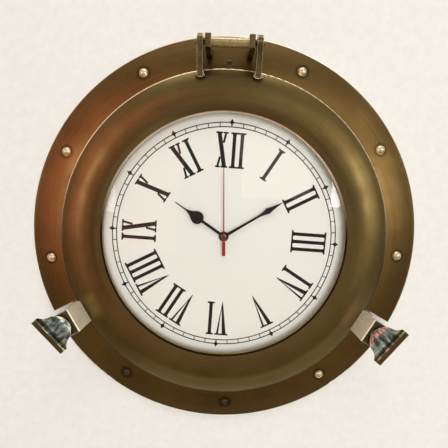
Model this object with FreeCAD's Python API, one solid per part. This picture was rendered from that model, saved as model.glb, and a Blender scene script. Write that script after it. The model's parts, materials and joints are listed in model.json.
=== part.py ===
"""Porthole deck clock: a brass porthole with a hinged glazed door, two swing bolts and a quartz clock inside.

Frame: the origin is on the clock's axis, in the plane of the wall it hangs on. +Z is up, +X is to the
right of someone who faces the clock, and the clock's front looks along -Y. Millimetres. "Depth" is the
distance from the wall, so a point at depth d has y = -d. Angles round the clock run clockwise from the top.
"""
import FreeCAD, Part
import math
import os

V = FreeCAD.Vector
FRONT = V(0, -1, 0)
CLOCK_AXIS = V(0, 1, 0)
ACROSS = V(1, 0, 0)

# ---- porthole body -----------------------------------------------------------------------------------
FLANGE_R = 190.5            # outside radius: a 15 inch porthole
FLANGE_PLATE = 4.0          # wall of the casting
FLANGE_EDGE_DEPTH = 10.6    # face of the flange at its outer edge
FLANGE_FOOT_R = 153.0       # where the face runs under the door
FLANGE_FOOT_DEPTH = 16.5
SKIRT_ROUND = 3.0           # radius of the rounded outer edge
NECK_R = 136.0              # collar that the door shuts on
NECK_INNER_R = 132.5
NECK_DEPTH = 24.0
LEDGE_R = 126.0             # ledge that carries the dial
LEDGE_DEPTH = 18.5

RIVET_R = 172.0             # circle of the rivets
RIVET_DOME_R = 4.3
RIVET_HEIGHT = 2.6
RIVET_TURN = -2.2           # the rivet circle is turned a little against the hinge
RIVET_ANGLES = (-97.0, -61.5, -25.8, 25.8, 61.5, 97.0, 146.0)
SCREW_ANGLES = (-144.5, 180.0)
SCREW_HEAD_R = 2.6
HINGE_SCREW_HEAD_R = 3.3
HINGE_SCREW_R = 162.2       # steel screw between the hinge lugs

# ---- door --------------------------------------------------------------------------------------------
DOOR_R = 153.9
DOOR_BACK = 17.3            # back rim, just clear of the flange
DOOR_EDGE_DEPTH = 27.6
DOOR_UNDERSIDE = 25.0
DOOR_WALL = 3.4
EDGE_ROUND = 1.4
CROWN_R = 136.0
CROWN_DEPTH = 32.2
APERTURE_R = 114.0
LIP_FRONT = 31.0
LIP_BACK = 29.2
GLASS_R = 119.3
GLASS_SEAT_R = 119.6
GLASS_EDGE_BACK = 26.2
GLASS_THICK = 2.4
GLASS_RISE = 7.5
RETAINER_R = 127.0
RETAINER_INNER_R = 115.2
RETAINER_SCREW_R = 124.0

# ---- hinge -------------------------------------------------------------------------------------------
HINGE_Z = 171.0
HINGE_DEPTH = 38.0
HINGE_PIN_R = 2.2
RUNNING_GAP = 0.05          # radial clearance of every shaft in its hole
PIN_HALF_LENGTH = 30.6
ARM_X = 25.9                # centre of each door arm
ARM_THICK = 5.2
ARM_END_R = 6.6
ARM_SLOPE = 22.0            # degrees that the arm rises from the door's face to the pin
ARM_FOOT_Z = 145.0
ARM_FOOT_HALF = 4.4         # half of the width where the foot spreads on the door
LUG_X = 19.0
LUG_THICK = 5.3
LUG_FRONT = 44.0
LUG_FOOT_Z = 168.5          # underside at the flange
LUG_BOTTOM_Z = 164.5        # underside at the front
LUG_TOP_Z = 176.2
LUG_STUD_R = 1.6
SPACER_R = 3.9

# ---- dogs: swing bolts with thumb nuts ----------------------------------------------------------------
DOG_ANGLES = {"left": -120.0, "right": 120.0}
BAR_TURNS = {"left": -13.5, "right": 8.6}
NOTCH_HALF = 12.6
NOTCH_R = 156.5
DOG_R = 164.0               # radius of the bolt's axis
DOG_PIVOT_DEPTH = 9.5
DOG_PIN_R = 2.5
BOLT_R = 3.0
BOLT_EYE_R = 5.5
BOLT_EYE_HALF = 6.0
BOLT_TIP = 64.0
EAR_HALF = 11.2
EAR_INNER_R = 150.2
EAR_OUTER_R = 170.0
EAR_FOOT = 22.0
EAR_TOP = 53.5
EAR_PLATE = 8.0
EAR_WALL = 5.6
EAR_SLOT_HALF = 4.0
NUT_BASE = 54.2
NUT_TOP = 73.2
NUT_BASE_R = 11.5
NUT_RIM = 3.2               # thickness of the round foot of the nut
BAR_HALF = 17.5
BAR_HALF_THICK = 2.7
BAR_HEIGHT = 3.6
NUT_ROUND = 1.3             # rounding of the front of the nut
CHEEK_IN = 6.4              # the bracket's cheeks, from the middle of the notch
CHEEK_OUT = 11.0
CHEEK_REACH = 6.0           # half of a cheek's length along the radius
CHEEK_DEPTHS = (0.8, 14.5)
BRACKET_HALF = 27.0         # half of the bracket's width over its wings
WING_REACH = 5.0
WING_DEPTHS = (3.4, 13.0)
BRIDGE_DEPTH = 8.0          # front of the wings where they cross the notch
BRACKET_SCREW_R = 1.3
BRACKET_SCREW_HEAD_R = 2.6

# ---- rear case ----------------------------------------------------------------------------------------
CASE_R = 145.0
SHEET = 1.5
CASE_OPENING_R = 98.0
COVER_R = 105.0
COVER_SCREW_R = 101.5
HANGER_X = 11.0
HANGER_Z = (107.0, 139.0)
KEYHOLE_Z = 117.5
KEYHOLE_R = 5.0
KEYSLOT_HALF = 2.3
KEYSLOT_TOP_Z = 129.0

# ---- dial and hands -----------------------------------------------------------------------------------
DIAL_R = 132.2
DIAL_FRONT = 20.0
DIAL_HOLE_R = 3.3
DIAL_SCREW_R = 129.2
HOUR_ANGLE = -56.2
MINUTE_ANGLE = 57.9
SECOND_ANGLE = -1.8
HOUR_HAND_DEPTHS = (22.4, 22.9)
MINUTE_HAND_DEPTHS = (23.7, 24.2)
SECOND_HAND_DEPTHS = (25.0, 25.4)
HOUR_LENGTH = 57.1
MINUTE_LENGTH = 65.5
SECOND_LENGTH = 65.3
SECOND_TAIL = 18.4
HUB_R = 4.7

# ---- quartz movement ----------------------------------------------------------------------------------
MOVE_X = 28.0
MOVE_Z = (-33.6, 22.4)
MOVE_BACK = 2.4
MOVE_FRONT = 17.8
MOVE_WALL = 1.2
STEM_R = 3.2
STEM_BORE_R = 2.3
STEM_TOP = 22.0
HOUR_TUBE_R = 2.22
MINUTE_ARBOR_R = 1.42
SECOND_ARBOR_R = 0.7
STEM_NUT_FLAT = 4.0         # from the axis to a flat of the nut
PARTITION_Z = (-17.9, -16.9)
LID_FRONT = 3.6
PIVOT_BACK = 3.7            # back end of the arbors, just inside the lid
MIDDLE_PLATE = (11.2, 11.9)
PILLAR_SPOTS = ((-14, -12), (14.5, -12), (15, 12))
PILLAR_R = 1.2
PIVOT_R = 0.5
ROTOR_PIVOT_R = 0.45
MAGNET_R = 3.0
POLE_GAP = 0.4              # between the magnet and the stator
KNOB_R = 4.0
KNOB_SHAFT_R = 1.2
BATTERY_R = 7.0
BATTERY_Z = -25.1
BATTERY_DEPTH = 9.6
BATTERY_HALF = 25.2

# gear train: (teeth, module); each pair on one line meshes
ROTOR_TEETH, INTERMEDIATE_TEETH, FIRST_MODULE = 6, 30, 0.40
INTERMEDIATE_LEAVES, SECOND_TEETH, SECOND_MODULE = 8, 48, 0.35
SECOND_LEAVES, THIRD_TEETH, THIRD_MODULE = 8, 64, 0.34
THIRD_LEAVES, CENTRE_TEETH, CENTRE_MODULE = 8, 60, 0.36
CENTRE_LEAVES, MINUTE_TEETH, MOTION_MODULE = 12, 36, 0.40
MINUTE_LEAVES, HOUR_TEETH, HOUR_MODULE = 10, 40, 0.384
KNOB_TEETH = 18
THIRD_DIRECTION = 20.0      # directions of the arbors from the centre, anticlockwise from +X
MINUTE_DIRECTION = 150.0
KNOB_DIRECTION = 150.0
INTERMEDIATE_DIRECTION = 250.0
ROTOR_DIRECTION = 168.0
TOOTH_ADDENDUM = 0.8        # of the module
TOOTH_DEDENDUM = 1.15
TOOTH_TIP = 0.16            # widths as a share of the pitch
TOOTH_WAIST = 0.36
TOOTH_ROOT = 0.46

# depths of the wheels, from the lid to the front of the movement
ROTOR_LEAF_DEPTHS = (5.2, 7.0)
MAGNET_DEPTHS = (8.6, 10.8)
INTERMEDIATE_WHEEL_DEPTHS = (5.6, 6.6)
INTERMEDIATE_LEAF_DEPTHS = (6.6, 9.0)
SECOND_WHEEL_DEPTHS = (7.6, 8.6)
SECOND_LEAF_DEPTHS = (8.6, 11.0)
THIRD_WHEEL_DEPTHS = (9.6, 10.6)
THIRD_LEAF_DEPTHS = (10.6, 13.6)
CENTRE_WHEEL_DEPTHS = (12.4, 13.3)
ARBOR_COLLAR_DEPTHS = (12.1, 12.3)
ARBOR_LEAF_DEPTHS = (13.4, 14.7)
MINUTE_WHEEL_DEPTHS = (13.6, 14.6)
MINUTE_LEAF_DEPTHS = (14.6, 16.2)
HOUR_WHEEL_DEPTHS = (15.0, 16.0)
STATOR_DEPTHS = (9.2, 10.2)
CORE_DEPTHS = (8.2, 9.2)


# ---- helpers ------------------------------------------------------------------------------------------
def at(x, z, depth):
    return V(x, -depth, z)


def outline(points, place):
    """A closed wire. A point is a pair; ("arc", middle, end) adds an arc from the point before it."""
    edges = []
    start = points[0]
    here = start
    for item in points[1:] + [start]:
        if item[0] == "arc":
            edges.append(Part.Arc(place(*here), place(*item[1]), place(*item[2])).toShape())
            here = item[2]
        elif item != here:
            edges.append(Part.LineSegment(place(*here), place(*item)).toShape())
            here = item
    return Part.Wire(edges)


def turned(points):
    """Turns an outline of (radius, depth) points about the clock's axis."""
    face = Part.Face(outline(points, lambda r, d: V(r, -d, 0)))
    return face.revolve(V(0, 0, 0), CLOCK_AXIS, 360)


def plate(points, back, front):
    """A flat plate with an outline of (x, z) points, between two depths."""
    face = Part.Face(outline(points, lambda x, z: at(x, z, back)))
    return face.extrude(FRONT * (front - back))


def slab(points, left, right):
    """An outline of (z, depth) points, extruded from left to right."""
    face = Part.Face(outline(points, lambda z, d: at(left, z, d)))
    return face.extrude(ACROSS * (right - left))


def rod(radius, back, front, x=0.0, z=0.0):
    return Part.makeCylinder(radius, front - back, at(x, z, back), FRONT)


def ring(outer, inner, back, front, x=0.0, z=0.0):
    return rod(outer, back, front, x, z).cut(rod(inner, back - 1, front + 1, x, z))


def crossbar(radius, left, right, z, depth):
    return Part.makeCylinder(radius, right - left, at(left, z, depth), ACROSS)


def block(x, z, depth):
    """A box from pairs of limits in x, z and depth."""
    return Part.makeBox(x[1] - x[0], depth[1] - depth[0], z[1] - z[0], at(x[0], z[0], depth[1]))


def around(shape, angle, x=0.0, z=0.0):
    """A copy turned clockwise, as seen from the front."""
    copy = shape.copy()
    copy.rotate(V(x, 0, z), CLOCK_AXIS, angle)
    return copy


def shifted(shape, x, z):
    copy = shape.copy()
    copy.translate(V(x, 0, z))
    return copy


def polar(radius, degrees):
    """A point at an angle measured anticlockwise from +X."""
    return radius * math.cos(math.radians(degrees)), radius * math.sin(math.radians(degrees))


def evenly(count, first=0.0):
    return [first + 360.0 * i / count for i in range(count)]


def countersunk(radius, head, depth, length, x=0.0, z=0.0):
    """A screw whose flat head is flush with the given depth and whose shank points to the front."""
    sink = Part.makeCone(head, radius, head - radius, at(x, z, depth), FRONT)
    shank = rod(radius, depth + head - radius, depth + length, x, z)
    slot = block((x - head, x + head), (z - 0.35, z + 0.35), (depth - 1, depth + 0.6))
    return sink.fuse(shank).cut(slot)


def slotted_head(radius, height, depth, x=0.0, z=0.0):
    """A round screw head that stands out to the front, with a slot across it."""
    head = rod(radius, depth, depth + height, x, z)
    front = [e for e in head.Edges if e.Closed and abs(e.CenterOfMass.y + depth + height) < 0.01]
    head = head.makeFillet(height * 0.45, front)
    slot = block((x - radius, x + radius), (z - 0.4, z + 0.4), (depth + height * 0.5, depth + height + 1))
    return head.cut(slot)


def bored(shape, fasteners):
    """The shape with a hole where each fastener goes."""
    for fastener in fasteners:
        shape = shape.cut(fastener)
    return shape


def largest(shape):
    """The biggest solid of a shape that a cut may have split."""
    return max(shape.Solids, key=lambda solid: solid.Volume)


def save(name, *shapes):
    shape = shapes[0] if len(shapes) == 1 else Part.makeCompound(shapes)
    shape.exportStep("parts/" + name + ".step")


# ---- porthole body ------------------------------------------------------------------------------------
def flange_depth(radius):
    """Depth of the flange's face at a radius."""
    share = (radius - FLANGE_FOOT_R) / (FLANGE_R - SKIRT_ROUND - FLANGE_FOOT_R)
    bulge = 1.3 * 4 * share * (1 - share)
    return FLANGE_FOOT_DEPTH + (FLANGE_EDGE_DEPTH - FLANGE_FOOT_DEPTH) * share + bulge


def flange_blank():
    edge_r = FLANGE_R - SKIRT_ROUND
    middle = (edge_r + FLANGE_FOOT_R) / 2
    corner = SKIRT_ROUND * (1 - math.sqrt(0.5))
    shell = turned([
        (FLANGE_R, 0),
        (FLANGE_R, FLANGE_EDGE_DEPTH - SKIRT_ROUND),
        ("arc", (FLANGE_R - corner, FLANGE_EDGE_DEPTH - corner), (edge_r, FLANGE_EDGE_DEPTH)),
        ("arc", (middle, flange_depth(middle)), (FLANGE_FOOT_R, FLANGE_FOOT_DEPTH)),
        (NECK_R, FLANGE_FOOT_DEPTH + 0.4),
        (NECK_R, NECK_DEPTH),
        (NECK_INNER_R, NECK_DEPTH),
        (NECK_INNER_R, LEDGE_DEPTH),
        (LEDGE_R, LEDGE_DEPTH),
        (LEDGE_R, LEDGE_DEPTH - FLANGE_PLATE),
        (FLANGE_FOOT_R, FLANGE_FOOT_DEPTH - FLANGE_PLATE),
        ("arc", (middle, flange_depth(middle) - FLANGE_PLATE),
         (edge_r - 1, FLANGE_EDGE_DEPTH - FLANGE_PLATE)),
        (edge_r - 1, 0),
    ])
    for angle in DOG_ANGLES.values():
        notch = block((-NOTCH_HALF, NOTCH_HALF), (NOTCH_R, FLANGE_R + 5), (-1, FLANGE_FOOT_DEPTH + 5))
        shell = shell.cut(around(notch, angle))
    return shell


def domed_rivet(angle):
    """A rivet head whose flat back sits on the sloping face of the flange."""
    depth = flange_depth(RIVET_R)
    ball_r = (RIVET_DOME_R ** 2 + RIVET_HEIGHT ** 2) / (2 * RIVET_HEIGHT)
    ball = Part.makeSphere(ball_r, at(0, RIVET_R, depth + RIVET_HEIGHT - ball_r))
    dome = ball.common(rod(RIVET_DOME_R + 1, depth - 0.2, depth + ball_r, 0, RIVET_R))
    stem = rod(1.8, depth - FLANGE_PLATE - 1.0, depth, 0, RIVET_R)
    return around(dome.fuse(stem), angle)


def flange_screw(radius, angle, head_r):
    """A small slotted screw, sunk into a spot face of the flange."""
    depth = flange_depth(radius)
    head = slotted_head(head_r, 1.5, depth - 0.4, 0, radius)
    shank = rod(1.6, depth - FLANGE_PLATE - 3.0, depth - 0.4, 0, radius)
    return around(head.fuse(shank), angle)


def flange_rivets():
    return [domed_rivet(angle + RIVET_TURN) for angle in RIVET_ANGLES]


def flange_screws():
    screws = [flange_screw(RIVET_R, angle + RIVET_TURN, SCREW_HEAD_R) for angle in SCREW_ANGLES]
    return screws + [flange_screw(HINGE_SCREW_R, 0.0, HINGE_SCREW_HEAD_R)]


# ---- hinge --------------------------------------------------------------------------------------------
def hinge_lug(side):
    """A fixed block on the flange, with a stud below it that fastens it."""
    middle = LUG_X * side
    x = (middle - LUG_THICK / 2, middle + LUG_THICK / 2)
    back = FLANGE_EDGE_DEPTH
    body = slab([
        (LUG_FOOT_Z, back),
        (LUG_BOTTOM_Z, LUG_FRONT - LUG_THICK),
        (LUG_BOTTOM_Z, LUG_FRONT),
        (LUG_TOP_Z, LUG_FRONT),
        (LUG_TOP_Z, back),
    ], *x)
    front = [e for e in body.Edges if e.CenterOfMass.y < -LUG_FRONT + 0.1]
    body = body.makeFillet(0.9, front)
    stud = rod(LUG_STUD_R, back - FLANGE_PLATE, back + 8.0, middle, (LUG_FOOT_Z + LUG_TOP_Z) / 2)
    hole = crossbar(HINGE_PIN_R + RUNNING_GAP, x[0] - 1, x[1] + 1, HINGE_Z, HINGE_DEPTH)
    return body, stud, hole


def hinge_pin():
    pin = crossbar(HINGE_PIN_R, -PIN_HALF_LENGTH, PIN_HALF_LENGTH, HINGE_Z, HINGE_DEPTH)
    rims = [e for e in pin.Edges if abs(abs(e.CenterOfMass.x) - PIN_HALF_LENGTH) < 0.1]
    return pin.makeFillet(1.3, rims)


def spacer_tube():
    half = LUG_X - LUG_THICK / 2
    tube = crossbar(SPACER_R, -half, half, HINGE_Z, HINGE_DEPTH)
    return tube.cut(crossbar(HINGE_PIN_R + RUNNING_GAP, -half - 1, half + 1, HINGE_Z, HINGE_DEPTH))


def hinge_arm(side):
    """A strap that rises from the door's face to the pin, with a foot that flares on the door."""
    middle = ARM_X * side
    left, right = middle - ARM_THICK / 2, middle + ARM_THICK / 2
    slope = math.radians(ARM_SLOPE)
    across = (math.sin(slope) * ARM_END_R, math.cos(slope) * ARM_END_R)
    strap = slab([
        (HINGE_Z - across[0], HINGE_DEPTH + across[1]),
        (ARM_FOOT_Z, CROWN_DEPTH + 1.6),
        (ARM_FOOT_Z - 2.5, CROWN_DEPTH - 3.0),
        (ARM_FOOT_Z + 6.0, CROWN_DEPTH - 8.0),
        (HINGE_Z + across[0], HINGE_DEPTH - across[1]),
    ], left, right)
    eye = crossbar(ARM_END_R, left, right, HINGE_Z, HINGE_DEPTH)
    toe_left, toe_right = middle - ARM_FOOT_HALF, middle + ARM_FOOT_HALF
    toe_z, heel_z = ARM_FOOT_Z + 0.4, ARM_FOOT_Z + 9.0
    foot = plate([
        (toe_left, toe_z),
        ("arc", (middle, toe_z - 1.8), (toe_right, toe_z)),
        ("arc", (right + 0.4, toe_z + 3.0), (right, heel_z)),
        (left, heel_z),
        ("arc", (left - 0.4, toe_z + 3.0), (toe_left, toe_z)),
    ], CROWN_DEPTH - 7.0, CROWN_DEPTH + 0.4)
    hole = crossbar(HINGE_PIN_R + RUNNING_GAP, left - 1, right + 1, HINGE_Z, HINGE_DEPTH)
    return strap.fuse(eye).fuse(foot).cut(hole)


# ---- door ---------------------------------------------------------------------------------------------
def door_ring():
    corner = EDGE_ROUND * (1 - math.sqrt(0.5))
    return turned([
        (DOOR_R, DOOR_BACK),
        (DOOR_R, DOOR_EDGE_DEPTH - EDGE_ROUND),
        ("arc", (DOOR_R - corner, DOOR_EDGE_DEPTH - corner), (DOOR_R - EDGE_ROUND, DOOR_EDGE_DEPTH)),
        ("arc", (CROWN_R, CROWN_DEPTH), (APERTURE_R + 1.5, LIP_FRONT)),
        ("arc", (APERTURE_R + 0.3, LIP_FRONT - 0.5), (APERTURE_R, LIP_BACK + 0.4)),
        (APERTURE_R, LIP_BACK),
        (GLASS_SEAT_R, LIP_BACK),
        (GLASS_SEAT_R, DOOR_UNDERSIDE),
        (DOOR_R - DOOR_WALL, DOOR_UNDERSIDE),
        (DOOR_R - DOOR_WALL, DOOR_BACK),
    ])


def glass_lens():
    """A watch-glass dome with a flat rim."""
    rim_r = APERTURE_R - 1.0
    back, front = GLASS_EDGE_BACK, GLASS_EDGE_BACK + GLASS_THICK
    ball_r = (rim_r ** 2 + GLASS_RISE ** 2) / (2 * GLASS_RISE)
    middle = rim_r / 2
    rise = GLASS_RISE - ball_r + math.sqrt(ball_r ** 2 - middle ** 2)
    return turned([
        (0, back + GLASS_RISE),
        ("arc", (middle, back + rise), (rim_r, back)),
        (GLASS_R, back),
        (GLASS_R, front),
        (rim_r, front),
        ("arc", (middle, front + rise), (0, front + GLASS_RISE)),
    ])


def glass_gasket():
    return ring(GLASS_R, APERTURE_R + 1.0, GLASS_EDGE_BACK + GLASS_THICK, LIP_BACK)


def glass_retainer():
    return turned([
        (RETAINER_INNER_R, GLASS_EDGE_BACK),
        (RETAINER_INNER_R, DOOR_UNDERSIDE - 2.0),
        (RETAINER_R, DOOR_UNDERSIDE - 2.0),
        (RETAINER_R, DOOR_UNDERSIDE),
        (GLASS_SEAT_R - 0.3, DOOR_UNDERSIDE),
        (GLASS_SEAT_R - 0.3, GLASS_EDGE_BACK),
    ])


def retainer_screw(angle):
    back = DOOR_UNDERSIDE - 3.2
    head = rod(2.0, back, DOOR_UNDERSIDE - 2.0, 0, RETAINER_SCREW_R)
    return around(head.fuse(rod(1.1, back + 0.5, DOOR_UNDERSIDE + 3.5, 0, RETAINER_SCREW_R)), angle)


def door_seal():
    """A rubber ring that lies on the neck, just short of the shut door."""
    return ring(NECK_R - 0.2, NECK_INNER_R + 0.2, NECK_DEPTH, DOOR_UNDERSIDE - 0.3)


# ---- dogs: each is made at the top of the clock and turned into place -----------------------------------
def dog_ear():
    """A slotted ear that stands on the door's rim and reaches over the swing bolt."""
    wall = slab([
        (EAR_INNER_R, EAR_FOOT),
        (EAR_INNER_R, EAR_TOP - 1.2),
        ("arc", (EAR_INNER_R + 0.35, EAR_TOP - 0.35), (EAR_INNER_R + 1.2, EAR_TOP)),
        (EAR_OUTER_R, EAR_TOP),
        (EAR_OUTER_R, EAR_TOP - EAR_PLATE),
        ("arc", (EAR_INNER_R + EAR_WALL + 3.5, EAR_TOP - EAR_PLATE - 2.5),
         (EAR_INNER_R + EAR_WALL, EAR_TOP - EAR_PLATE - 9.0)),
        (EAR_INNER_R + EAR_WALL, EAR_FOOT),
    ], -EAR_HALF, EAR_HALF)
    slot = block((-EAR_SLOT_HALF, EAR_SLOT_HALF), (DOG_R, EAR_OUTER_R + 1), (EAR_FOOT, EAR_TOP + 1))
    slot = slot.fuse(rod(EAR_SLOT_HALF, EAR_FOOT, EAR_TOP + 1, 0, DOG_R))
    return wall.cut(slot)


def dog_bracket():
    """A clevis in the notch of the flange, with a wing on each side that screws up under the flange."""
    far = FLANGE_R
    cheeks = block((-CHEEK_OUT, CHEEK_OUT), (DOG_R - CHEEK_REACH, DOG_R + CHEEK_REACH), CHEEK_DEPTHS)
    gap = block((-CHEEK_IN, CHEEK_IN), (0, far), (WING_DEPTHS[0], far))
    wings = block((-BRACKET_HALF, BRACKET_HALF), (DOG_R - WING_REACH, DOG_R + WING_REACH), WING_DEPTHS)
    wings = wings.cut(block((-CHEEK_OUT, CHEEK_OUT), (0, far), (0, far)))
    wings = wings.cut(block((-NOTCH_HALF, NOTCH_HALF), (0, far), (BRIDGE_DEPTH, far)))
    hole = crossbar(DOG_PIN_R, -CHEEK_OUT - 1, CHEEK_OUT + 1, DOG_R, DOG_PIVOT_DEPTH)
    return cheeks.cut(gap).fuse(wings).cut(hole)


def bracket_screw(side):
    """A screw of a bracket, driven from behind through a wing into the flange."""
    x = side * (NOTCH_HALF + BRACKET_HALF) / 2
    back = WING_DEPTHS[0]
    head = rod(BRACKET_SCREW_HEAD_R, back - 1.4, back, x, DOG_R)
    return head.fuse(rod(BRACKET_SCREW_R, back - 0.4, WING_DEPTHS[1], x, DOG_R))


def bracket_screws():
    return [bracket_screw(side) for side in (-1, 1)]


def dog_pin():
    return crossbar(DOG_PIN_R, -CHEEK_OUT - 0.8, CHEEK_OUT + 0.8, DOG_R, DOG_PIVOT_DEPTH)


def swing_bolt():
    eye = crossbar(BOLT_EYE_R, -BOLT_EYE_HALF, BOLT_EYE_HALF, DOG_R, DOG_PIVOT_DEPTH)
    shank = rod(BOLT_R, DOG_PIVOT_DEPTH, BOLT_TIP, 0, DOG_R)
    hole = crossbar(DOG_PIN_R + RUNNING_GAP, -BOLT_EYE_HALF - 1, BOLT_EYE_HALF + 1, DOG_R, DOG_PIVOT_DEPTH)
    bolt = eye.fuse(shank).cut(hole)
    tip = [e for e in bolt.Edges if e.CenterOfMass.y < -BOLT_TIP + 0.1]
    return bolt.makeChamfer(0.6, tip)


def bar_front(half):
    """The front of the nut's bar, with its corners rounded, from left to right."""
    corner = NUT_ROUND * (1 - math.sqrt(0.5))
    return [
        (-half, NUT_TOP - NUT_ROUND),
        ("arc", (-half + corner, NUT_TOP - corner), (-half + NUT_ROUND, NUT_TOP)),
        (half - NUT_ROUND, NUT_TOP),
        ("arc", (half - corner, NUT_TOP - corner), (half, NUT_TOP - NUT_ROUND)),
    ]


def thumb_nut():
    """A fan-shaped nut: a round foot, two scooped faces and a wide bar across the top."""
    scoop_start = NUT_BASE + NUT_RIM
    bar_start = NUT_TOP - BAR_HEIGHT
    side_view = slab([
        (-NUT_BASE_R, NUT_BASE),
        (-NUT_BASE_R, scoop_start),
        ("arc", (-BAR_HALF_THICK - 2.6, scoop_start + 5.0), (-BAR_HALF_THICK, bar_start)),
        *bar_front(BAR_HALF_THICK),
        (BAR_HALF_THICK, bar_start),
        ("arc", (BAR_HALF_THICK + 2.6, scoop_start + 5.0), (NUT_BASE_R, scoop_start)),
        (NUT_BASE_R, NUT_BASE),
    ], -BAR_HALF, BAR_HALF)
    front_outline = [
        (-NUT_BASE_R, NUT_BASE),
        (-NUT_BASE_R, scoop_start),
        ("arc", (-NUT_BASE_R - 1.4, scoop_start + 6.5), (-BAR_HALF, bar_start)),
        *bar_front(BAR_HALF),
        (BAR_HALF, bar_start),
        ("arc", (NUT_BASE_R + 1.4, scoop_start + 6.5), (NUT_BASE_R, scoop_start)),
        (NUT_BASE_R, NUT_BASE),
    ]
    face = Part.Face(outline(front_outline, lambda x, d: at(x, -NUT_BASE_R - 1, d)))
    front_view = face.extrude(V(0, 0, 2 * NUT_BASE_R + 2))
    plan = turned([
        (0, NUT_BASE),
        (NUT_BASE_R, NUT_BASE),
        (NUT_BASE_R, scoop_start),
        (BAR_HALF + 0.6, bar_start),
        (BAR_HALF + 0.6, NUT_TOP + 1),
        (0, NUT_TOP + 1),
    ])
    nut = side_view.common(front_view).common(plan)
    thread = rod(BOLT_R + RUNNING_GAP, NUT_BASE - 1, BOLT_TIP + 1.5)
    return shifted(nut.cut(thread), 0, DOG_R)


# ---- rear case ----------------------------------------------------------------------------------------
def rear_case():
    """A drum behind the flange, with a rim at the back that the cover screws to."""
    drum = turned([
        (CASE_R, 0),
        (CASE_R, FLANGE_FOOT_DEPTH - 2.5),
        (CASE_R - SHEET, FLANGE_FOOT_DEPTH - 2.5),
        (CASE_R - SHEET, 2 * SHEET),
        (CASE_OPENING_R, 2 * SHEET),
        (CASE_OPENING_R, SHEET),
        (CASE_R - SHEET, SHEET),
        (CASE_R - SHEET, 0),
    ])
    return drum.cut(block((-7, 7), (HANGER_Z[0] + 4, HANGER_Z[1] - 5), (0, 4)))


def keyhole():
    slot = block((-KEYSLOT_HALF, KEYSLOT_HALF), (KEYHOLE_Z, KEYSLOT_TOP_Z), (0, 10))
    end = rod(KEYSLOT_HALF, 0, 10, 0, KEYSLOT_TOP_Z)
    return rod(KEYHOLE_R, 0, 10, 0, KEYHOLE_Z).fuse(slot).fuse(end)


def hanger_plate():
    return block((-HANGER_X, HANGER_X), HANGER_Z, (2 * SHEET, 3 * SHEET)).cut(keyhole())


def hanger_rivets():
    middle = sum(HANGER_Z) / 2
    spots = [(x, middle + dz) for x in (-9, 9) for dz in (-12, 12)]
    return [rod(1.3, SHEET - 0.6, 3 * SHEET + 0.6, x, z) for x, z in spots]


def cover_screws():
    spots = [polar(COVER_SCREW_R, angle) for angle in evenly(6, 30)]
    return [countersunk(1.4, 2.4, 0, 5.0, x, z) for x, z in spots]


def back_cover(battery_window, knob_spot):
    cover = rod(COVER_R, 0, SHEET)
    knob_hole = rod(6.0, -1, 3, *knob_spot)
    return cover.cut(block(*battery_window, (-1, 3))).cut(knob_hole)


# ---- dial and hands -----------------------------------------------------------------------------------
def dial_screw(angle):
    head = slotted_head(2.2, 1.2, DIAL_FRONT, 0, DIAL_SCREW_R)
    return around(head.fuse(rod(1.1, LEDGE_DEPTH - 3, DIAL_FRONT, 0, DIAL_SCREW_R)), angle)


def dial_screws():
    return [dial_screw(angle) for angle in evenly(4, 45)]


def mirrored_outline(right_side):
    """Closes an outline that is given up its right side, from the tail to the tip."""
    ends = [item[2] if item[0] == "arc" else item for item in right_side]
    points = list(right_side)
    for i in range(len(right_side) - 1, 0, -1):
        back = (-ends[i - 1][0], ends[i - 1][1])
        if right_side[i][0] == "arc":
            middle = right_side[i][1]
            points.append(("arc", (-middle[0], middle[1]), back))
        else:
            points.append(back)
    return points


def hand(points, depths, bore, angle, hub_r):
    blade = plate(mirrored_outline(points), *depths)
    blade = blade.fuse(rod(hub_r, *depths)).removeSplitter()
    return around(blade.cut(rod(bore, depths[0] - 1, depths[1] + 1)), angle)


def hour_hand():
    """A straight stem, a drop with its round end to the hub, and a thin point."""
    side = [
        (0, 0),
        (1.35, 0),
        (1.35, 25.2),
        ("arc", (4.9, 27.3), (6.1, 31.2)),
        ("arc", (5.5, 33.9), (3.9, 36.4)),
        ("arc", (1.7, 40.6), (0.6, 46.0)),
        (0.4, HOUR_LENGTH - 0.8),
        (0, HOUR_LENGTH),
    ]
    return hand(side, HOUR_HAND_DEPTHS, HOUR_TUBE_R, HOUR_ANGLE, HUB_R)


def minute_hand():
    """A tapered stem that swells to a leaf near its tip."""
    side = [
        (0, 0),
        (1.5, 0),
        (1.0, 27.0),
        (1.05, 38.0),
        ("arc", (1.7, 44.2), (3.0, 48.6)),
        ("arc", (1.75, 53.8), (0.9, 59.0)),
        (0, MINUTE_LENGTH),
    ]
    return hand(side, MINUTE_HAND_DEPTHS, MINUTE_ARBOR_R, MINUTE_ANGLE, HUB_R - 0.5)


def second_hand():
    """A needle with a broad tail."""
    side = [
        (0, -SECOND_TAIL),
        (1.55, -SECOND_TAIL),
        (1.55, -5.8),
        (0.6, -4.0),
        (0.6, 0),
        (0.35, SECOND_LENGTH),
        (0, SECOND_LENGTH),
    ]
    return hand(side, SECOND_HAND_DEPTHS, SECOND_ARBOR_R, SECOND_ANGLE, 2.9)


# ---- gears --------------------------------------------------------------------------------------------
def gear(teeth, module, back, front, tooth_angle=0.0):
    """A gear on the clock's axis, with one tooth centred on tooth_angle, anticlockwise from +X."""
    radius = teeth * module / 2
    tip, root = radius + TOOTH_ADDENDUM * module, radius - TOOTH_DEDENDUM * module
    flank = [(root, -TOOTH_ROOT), (radius, -TOOTH_WAIST), (tip, -TOOTH_TIP),
             (tip, TOOTH_TIP), (radius, TOOTH_WAIST), (root, TOOTH_ROOT)]
    points = []
    for tooth in range(teeth):
        for r, share in flank:
            points.append(polar(r, tooth_angle + 360.0 / teeth * (tooth + share / 2)))
    return plate(points, back, front)


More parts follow.
